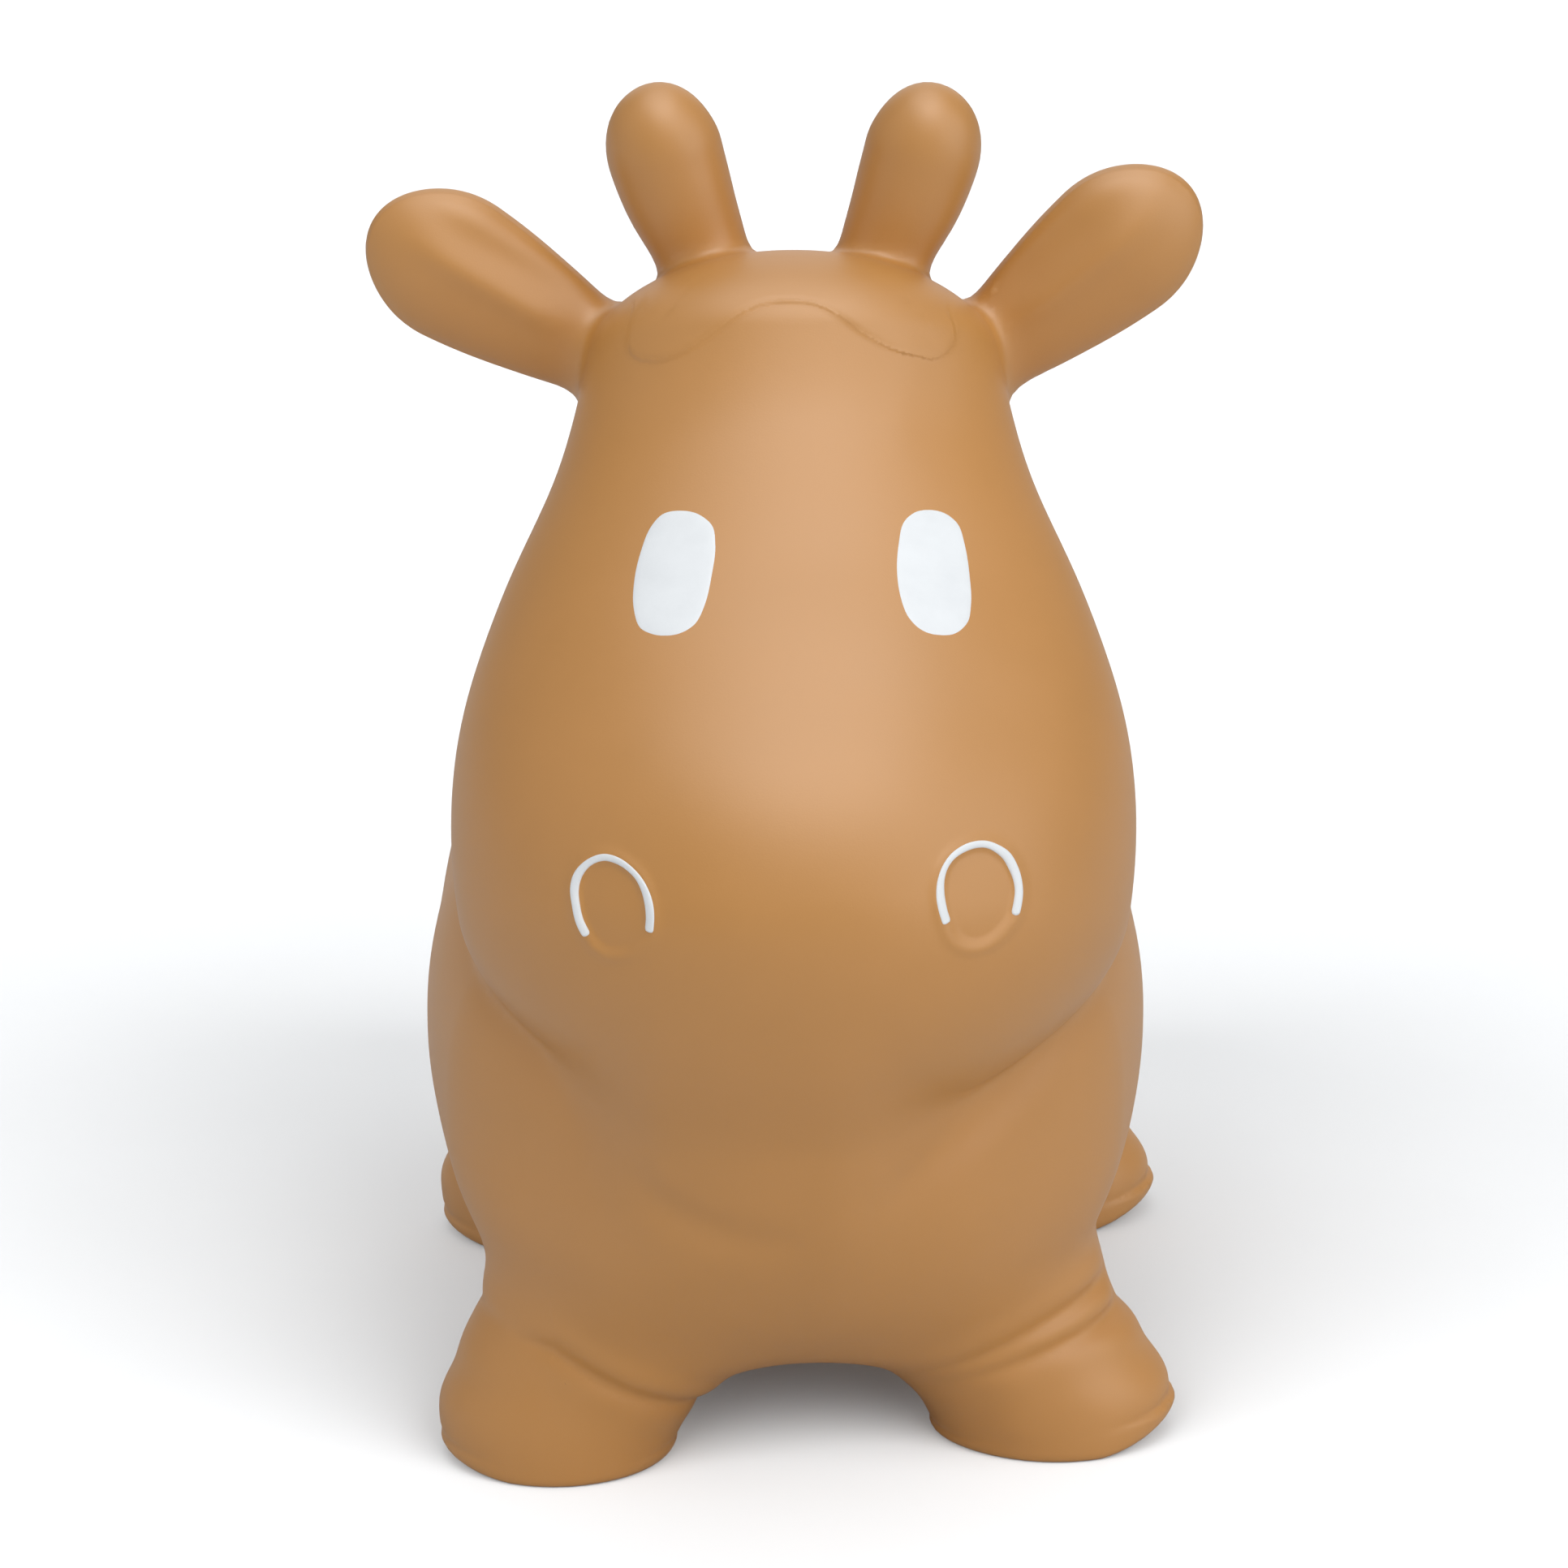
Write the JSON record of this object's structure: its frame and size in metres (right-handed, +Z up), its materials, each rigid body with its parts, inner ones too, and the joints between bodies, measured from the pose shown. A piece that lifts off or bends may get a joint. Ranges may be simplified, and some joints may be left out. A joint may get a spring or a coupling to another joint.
{
  "type": "inflatable ride on cow",
  "caption": "Hollow inflatable hopping animal in the shape of a cow, with paddle ears and horns to hold, a barrel body to sit astride, bell shaped feet and a belly valve.",
  "frame": {"origin": "middle of the footprint, on the floor under the belly", "axes": "+Z up, +Y towards the rump, +X towards the animal's own left"},
  "size_m": [0.3085, 0.5185, 0.5007],
  "materials": {
    "caramel_rubber": "matt",
    "white_paint": "satin",
    "valve_vinyl": "satin"
  },
  "bodies": {
    "body": {"head_skin": "caramel_rubber", "trunk_skin": "caramel_rubber", "right_fore_ankle": "caramel_rubber", "right_hind_ankle": "caramel_rubber", "left_fore_ankle": "caramel_rubber", "left_hind_ankle": "caramel_rubber", "valve_seat": "valve_vinyl", "right_eye_paint": "white_paint", "right_nostril_paint": "white_paint", "left_eye_paint": "white_paint", "left_nostril_paint": "white_paint"},
    "right_ear": {"right_ear": "caramel_rubber"},
    "left_ear": {"left_ear": "caramel_rubber"},
    "right_horn": {"right_horn": "caramel_rubber"},
    "left_horn": {"left_horn": "caramel_rubber"},
    "right_fore_foot": {"right_fore_hoof": "caramel_rubber", "right_fore_sole": "caramel_rubber"},
    "right_hind_foot": {"right_hind_hoof": "caramel_rubber", "right_hind_sole": "caramel_rubber"},
    "left_fore_foot": {"left_fore_hoof": "caramel_rubber", "left_fore_sole": "caramel_rubber"},
    "left_hind_foot": {"left_hind_hoof": "caramel_rubber", "left_hind_sole": "caramel_rubber"},
    "plug": {"valve_plug": "valve_vinyl"}
  },
  "joints": [
    {"name": "right_ear_bend", "type": "hinge", "parent": "body", "child": "right_ear", "pos_m": [-0.07564, -0.034, 0.40279], "axis": [0.515, 0, 0.8572], "range_deg": [-25, 30], "stiffness_Nm_per_rad": 0.7},
    {"name": "left_ear_bend", "type": "hinge", "parent": "body", "child": "left_ear", "pos_m": [0.0751, -0.034, 0.40356], "axis": [0.6428, 0, -0.766], "range_deg": [-25, 30], "stiffness_Nm_per_rad": 0.7},
    {"name": "right_horn_bend", "type": "hinge", "parent": "body", "child": "right_horn", "pos_m": [-0.036, -0.031, 0.436], "axis": [1, 0, 0], "range_deg": [-20, 20], "stiffness_Nm_per_rad": 0.8},
    {"name": "left_horn_bend", "type": "hinge", "parent": "body", "child": "left_horn", "pos_m": [0.036, -0.031, 0.436], "axis": [1, 0, 0], "range_deg": [-20, 20], "stiffness_Nm_per_rad": 0.8},
    {"name": "right_fore_bounce", "type": "slide", "parent": "body", "child": "right_fore_foot", "axis": [0, 0, 1], "range_m": [0, 0.015], "stiffness_N_per_m": 4100, "springref_m": -0.002, "deforming": ["right_fore_ankle"]},
    {"name": "right_hind_bounce", "type": "slide", "parent": "body", "child": "right_hind_foot", "axis": [0, 0, 1], "range_m": [0, 0.015], "stiffness_N_per_m": 4100, "springref_m": -0.002, "deforming": ["right_hind_ankle"]},
    {"name": "left_fore_bounce", "type": "slide", "parent": "body", "child": "left_fore_foot", "axis": [0, 0, 1], "range_m": [0, 0.015], "stiffness_N_per_m": 4100, "springref_m": -0.002, "deforming": ["left_fore_ankle"]},
    {"name": "left_hind_bounce", "type": "slide", "parent": "body", "child": "left_hind_foot", "axis": [0, 0, 1], "range_m": [0, 0.015], "stiffness_N_per_m": 4100, "springref_m": -0.002, "deforming": ["left_hind_ankle"]},
    {"name": "plug_pull", "type": "slide", "parent": "body", "child": "plug", "axis": [0, 0, -1], "range_m": [0, 0.02]}
  ]
}
